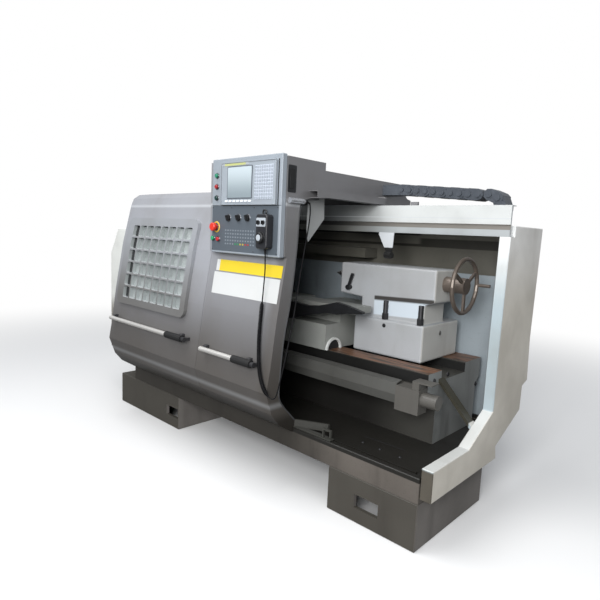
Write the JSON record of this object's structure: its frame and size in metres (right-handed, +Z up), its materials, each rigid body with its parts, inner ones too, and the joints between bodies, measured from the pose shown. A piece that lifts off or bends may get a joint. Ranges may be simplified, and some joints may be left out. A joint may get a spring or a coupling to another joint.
{
  "type": "cnc turning lathe",
  "caption": "Flat-bed CNC turning lathe with sliding guard doors, grilled window, control cabinet with hanging hand pendant, tailstock and drag chain",
  "frame": {"origin": "centre of the object's box on the floor, without the cord", "axes": "+X along the bed towards the tailstock, +Y towards the back, +Z up, metres"},
  "size_m": [2.847, 1.5093, 1.635],
  "materials": {
    "pedestal_left_finish": "satin",
    "pedestal_right_finish": "satin",
    "chip_tray_finish": "satin",
    "bed_finish": "matte",
    "headstock_finish": "satin",
    "rear_guard_finish": "satin",
    "end_cover_finish": "satin",
    "spindle_motor_finish": "satin",
    "drive_belt_finish": "matte",
    "top_beam_finish": "satin",
    "end_frame_finish": "satin",
    "screw_cover_finish": "satin",
    "screw_bearing_block_finish": "satin",
    "nozzle_bracket_finish": "satin",
    "electrical_cabinet_finish": "satin",
    "spindle_finish": "brushed",
    "chuck_body_finish": "brushed",
    "jaw_1_finish": "brushed",
    "jaw_2_finish": "brushed",
    "jaw_3_finish": "brushed",
    "motor_pulley_finish": "brushed",
    "left_door_shell_finish": "satin",
    "window_grille_finish": "satin",
    "window_glass_finish": "clear",
    "left_handle_bar_finish": "polished",
    "left_handle_grip_finish": "matte",
    "control_door_shell_finish": "satin",
    "control_cabinet_finish": "satin",
    "display_unit_finish": "satin",
    "pendant_finish": "matte",
    "cord_connector_finish": "polished",
    "pendant_cord_finish": "matte",
    "right_handle_bar_finish": "polished",
    "right_handle_grip_finish": "matte",
    "guide_shoe_finish": "satin",
    "chain_upper_run_finish": "matte",
    "chain_bend_finish": "matte",
    "power_on_button_finish": "gloss",
    "power_off_button_finish": "gloss",
    "mode_button_finish": "gloss",
    "start_button_finish": "gloss",
    "stop_button_finish": "gloss",
    "estop_button_finish": "gloss",
    "rotary_switch_1_finish": "matte",
    "rotary_switch_2_finish": "matte",
    "rotary_switch_3_finish": "matte",
    "pendant_dial_finish": "satin",
    "pendant_knob_1_finish": "matte",
    "pendant_knob_2_finish": "matte",
    "saddle_finish": "satin",
    "carriage_cover_finish": "satin",
    "cross_slide_finish": "satin",
    "tool_post_finish": "brushed",
    "ball_screw_finish": "brushed",
    "tailstock_finish": "satin",
    "quill_finish": "brushed",
    "handwheel_finish": "polished",
    "quill_lock_lever_finish": "matte",
    "electrical_door_finish": "satin"
  },
  "bodies": {
    "root": {"pedestal_left": "pedestal_left_finish", "pedestal_right": "pedestal_right_finish", "chip_tray": "chip_tray_finish", "bed": "bed_finish", "headstock": "headstock_finish", "rear_guard": "rear_guard_finish", "end_cover": "end_cover_finish", "spindle_motor": "spindle_motor_finish", "drive_belt": "drive_belt_finish", "top_beam": "top_beam_finish", "end_frame": "end_frame_finish", "screw_cover": "screw_cover_finish", "screw_bearing_block": "screw_bearing_block_finish", "nozzle_bracket": "nozzle_bracket_finish", "electrical_cabinet": "electrical_cabinet_finish"},
    "spindle_body": {"spindle": "spindle_finish", "chuck_body": "chuck_body_finish"},
    "jaw_1_body": {"jaw_1": "jaw_1_finish"},
    "jaw_2_body": {"jaw_2": "jaw_2_finish"},
    "jaw_3_body": {"jaw_3": "jaw_3_finish"},
    "motor_pulley_body": {"motor_pulley": "motor_pulley_finish"},
    "left_door": {"left_door_shell": "left_door_shell_finish", "window_grille": "window_grille_finish", "window_glass": "window_glass_finish", "left_handle_bar": "left_handle_bar_finish", "left_handle_grip": "left_handle_grip_finish"},
    "control_door": {"control_door_shell": "control_door_shell_finish", "control_cabinet": "control_cabinet_finish", "display_unit": "display_unit_finish", "pendant": "pendant_finish", "cord_connector": "cord_connector_finish", "pendant_cord": "pendant_cord_finish", "right_handle_bar": "right_handle_bar_finish", "right_handle_grip": "right_handle_grip_finish", "guide_shoe": "guide_shoe_finish", "chain_upper_run": "chain_upper_run_finish"},
    "chain_bend_body": {"chain_bend": "chain_bend_finish"},
    "power_on_body": {"power_on_button": "power_on_button_finish"},
    "power_off_body": {"power_off_button": "power_off_button_finish"},
    "mode_body": {"mode_button": "mode_button_finish"},
    "start_body": {"start_button": "start_button_finish"},
    "stop_body": {"stop_button": "stop_button_finish"},
    "estop_body": {"estop_button": "estop_button_finish"},
    "rotary_1_body": {"rotary_switch_1": "rotary_switch_1_finish"},
    "rotary_2_body": {"rotary_switch_2": "rotary_switch_2_finish"},
    "rotary_3_body": {"rotary_switch_3": "rotary_switch_3_finish"},
    "dial_body": {"pendant_dial": "pendant_dial_finish"},
    "knob_1_body": {"pendant_knob_1": "pendant_knob_1_finish"},
    "knob_2_body": {"pendant_knob_2": "pendant_knob_2_finish"},
    "carriage": {"saddle": "saddle_finish", "carriage_cover": "carriage_cover_finish"},
    "cross_slide_body": {"cross_slide": "cross_slide_finish"},
    "tool_post_body": {"tool_post": "tool_post_finish"},
    "screw_body": {"ball_screw": "ball_screw_finish"},
    "tailstock_body": {"tailstock": "tailstock_finish"},
    "quill_body": {"quill": "quill_finish"},
    "handwheel_body": {"handwheel": "handwheel_finish"},
    "lever_body": {"quill_lock_lever": "quill_lock_lever_finish"},
    "electrical_door_body": {"electrical_door": "electrical_door_finish"}
  },
  "joints": [
    {"name": "control_door_slide", "type": "slide", "parent": "root", "child": "control_door", "axis": [1, 0, 0], "range_m": [0, 0.47], "deforming": ["chain_upper_run"]},
    {"name": "left_door_slide", "type": "slide", "parent": "root", "child": "left_door", "axis": [1, 0, 0], "range_m": [0, 0.47]},
    {"name": "chain_bend_slide", "type": "slide", "parent": "root", "child": "chain_bend_body", "axis": [1, 0, 0], "range_m": [0, 0.235]},
    {"name": "spindle_turn", "type": "hinge", "parent": "root", "child": "spindle_body", "pos_m": [-0.4335, 0.0716, 1.06], "axis": [1, 0, 0], "continuous": true},
    {"name": "motor_pulley_turn", "type": "hinge", "parent": "root", "child": "motor_pulley_body", "pos_m": [-1.1135, 0.5566, 0.7], "axis": [1, 0, 0], "continuous": true},
    {"name": "jaw_1_slide", "type": "slide", "parent": "spindle_body", "child": "jaw_1_body", "axis": [0, 0, 1], "range_m": [-0.018, 0.015]},
    {"name": "jaw_2_slide", "type": "slide", "parent": "spindle_body", "child": "jaw_2_body", "axis": [0, -0.866, -0.5], "range_m": [-0.018, 0.015]},
    {"name": "jaw_3_slide", "type": "slide", "parent": "spindle_body", "child": "jaw_3_body", "axis": [0, 0.866, -0.5], "range_m": [-0.018, 0.015]},
    {"name": "carriage_slide", "type": "slide", "parent": "root", "child": "carriage", "axis": [1, 0, 0], "range_m": [-0.2, 0.03]},
    {"name": "cross_slide_move", "type": "slide", "parent": "carriage", "child": "cross_slide_body", "axis": [0, 1, 0], "range_m": [0, 0.1]},
    {"name": "tool_post_index", "type": "hinge", "parent": "cross_slide_body", "child": "tool_post_body", "pos_m": [0.0415, -0.1284, 0.9], "axis": [0, 0, 1], "range_deg": [-90, 180]},
    {"name": "ball_screw_turn", "type": "hinge", "parent": "root", "child": "screw_body", "pos_m": [0.1665, -0.2454, 0.55], "axis": [1, 0, 0], "range_deg": [-7200, 1080]},
    {"name": "tailstock_slide", "type": "slide", "parent": "root", "child": "tailstock_body", "axis": [1, 0, 0], "range_m": [-0.02, 0.08]},
    {"name": "handwheel_turn", "type": "hinge", "parent": "tailstock_body", "child": "handwheel_body", "pos_m": [1.2015, 0.0716, 1.06], "axis": [1, 0, 0], "range_deg": [-7200, 0]},
    {"name": "quill_slide", "type": "slide", "parent": "tailstock_body", "child": "quill_body", "axis": [1, 0, 0], "range_m": [-0.1, 0]},
    {"name": "quill_lock", "type": "hinge", "parent": "tailstock_body", "child": "lever_body", "pos_m": [0.5765, -0.0337, 0.996], "axis": [0, 1, 0], "range_deg": [-40, 20]},
    {"name": "electrical_door_hinge", "type": "hinge", "parent": "root", "child": "electrical_door_body", "pos_m": [-0.3835, 0.7549, 0.84], "axis": [0, 0, 1], "range_deg": [0, 110]},
    {"name": "power_on_press", "type": "slide", "parent": "control_door", "child": "power_on_body", "axis": [0, 1, 0], "range_m": [0, 0.004], "stiffness_N_per_m": 400},
    {"name": "power_off_press", "type": "slide", "parent": "control_door", "child": "power_off_body", "axis": [0, 1, 0], "range_m": [0, 0.004], "stiffness_N_per_m": 400},
    {"name": "mode_press", "type": "slide", "parent": "control_door", "child": "mode_body", "axis": [0, 1, 0], "range_m": [0, 0.004], "stiffness_N_per_m": 400},
    {"name": "start_press", "type": "slide", "parent": "control_door", "child": "start_body", "axis": [0, 1, 0], "range_m": [0, 0.004], "stiffness_N_per_m": 400},
    {"name": "stop_press", "type": "slide", "parent": "control_door", "child": "stop_body", "axis": [0, 1, 0], "range_m": [0, 0.004], "stiffness_N_per_m": 400},
    {"name": "estop_press", "type": "slide", "parent": "control_door", "child": "estop_body", "axis": [0, 1, 0], "range_m": [0, 0.004]},
    {"name": "rotary_1_turn", "type": "hinge", "parent": "control_door", "child": "rotary_1_body", "pos_m": [0.2735, -0.6704, 1.343], "axis": [0, 1, 0], "range_deg": [-45, 45]},
    {"name": "rotary_2_turn", "type": "hinge", "parent": "control_door", "child": "rotary_2_body", "pos_m": [0.3515, -0.6704, 1.344], "axis": [0, 1, 0], "range_deg": [-45, 45]},
    {"name": "rotary_3_turn", "type": "hinge", "parent": "control_door", "child": "rotary_3_body", "pos_m": [0.4195, -0.6704, 1.345], "axis": [0, 1, 0], "range_deg": [-45, 45]},
    {"name": "dial_turn", "type": "hinge", "parent": "control_door", "child": "dial_body", "pos_m": [0.5655, -0.7134, 1.2539], "axis": [0, 1, 0], "continuous": true},
    {"name": "pendant_knob_1_turn", "type": "hinge", "parent": "control_door", "child": "knob_1_body", "pos_m": [0.5492, -0.7134, 1.3238], "axis": [0, 1, 0], "range_deg": [-60, 60]},
    {"name": "pendant_knob_2_turn", "type": "hinge", "parent": "control_door", "child": "knob_2_body", "pos_m": [0.5818, -0.7134, 1.3238], "axis": [0, 1, 0], "range_deg": [-60, 60]}
  ],
  "couplings": [
    {"joint": "left_door_slide", "follows": "control_door_slide", "ratio": 1},
    {"joint": "chain_bend_slide", "follows": "control_door_slide", "ratio": 0.5},
    {"joint": "motor_pulley_turn", "follows": "spindle_turn", "ratio": 1.8333},
    {"joint": "jaw_2_slide", "follows": "jaw_1_slide", "ratio": 1},
    {"joint": "jaw_3_slide", "follows": "jaw_1_slide", "ratio": 1},
    {"joint": "ball_screw_turn", "follows": "carriage_slide", "rad_per_m": 628.32},
    {"joint": "quill_slide", "follows": "handwheel_turn", "m_per_rad": 0.00079577}
  ]
}
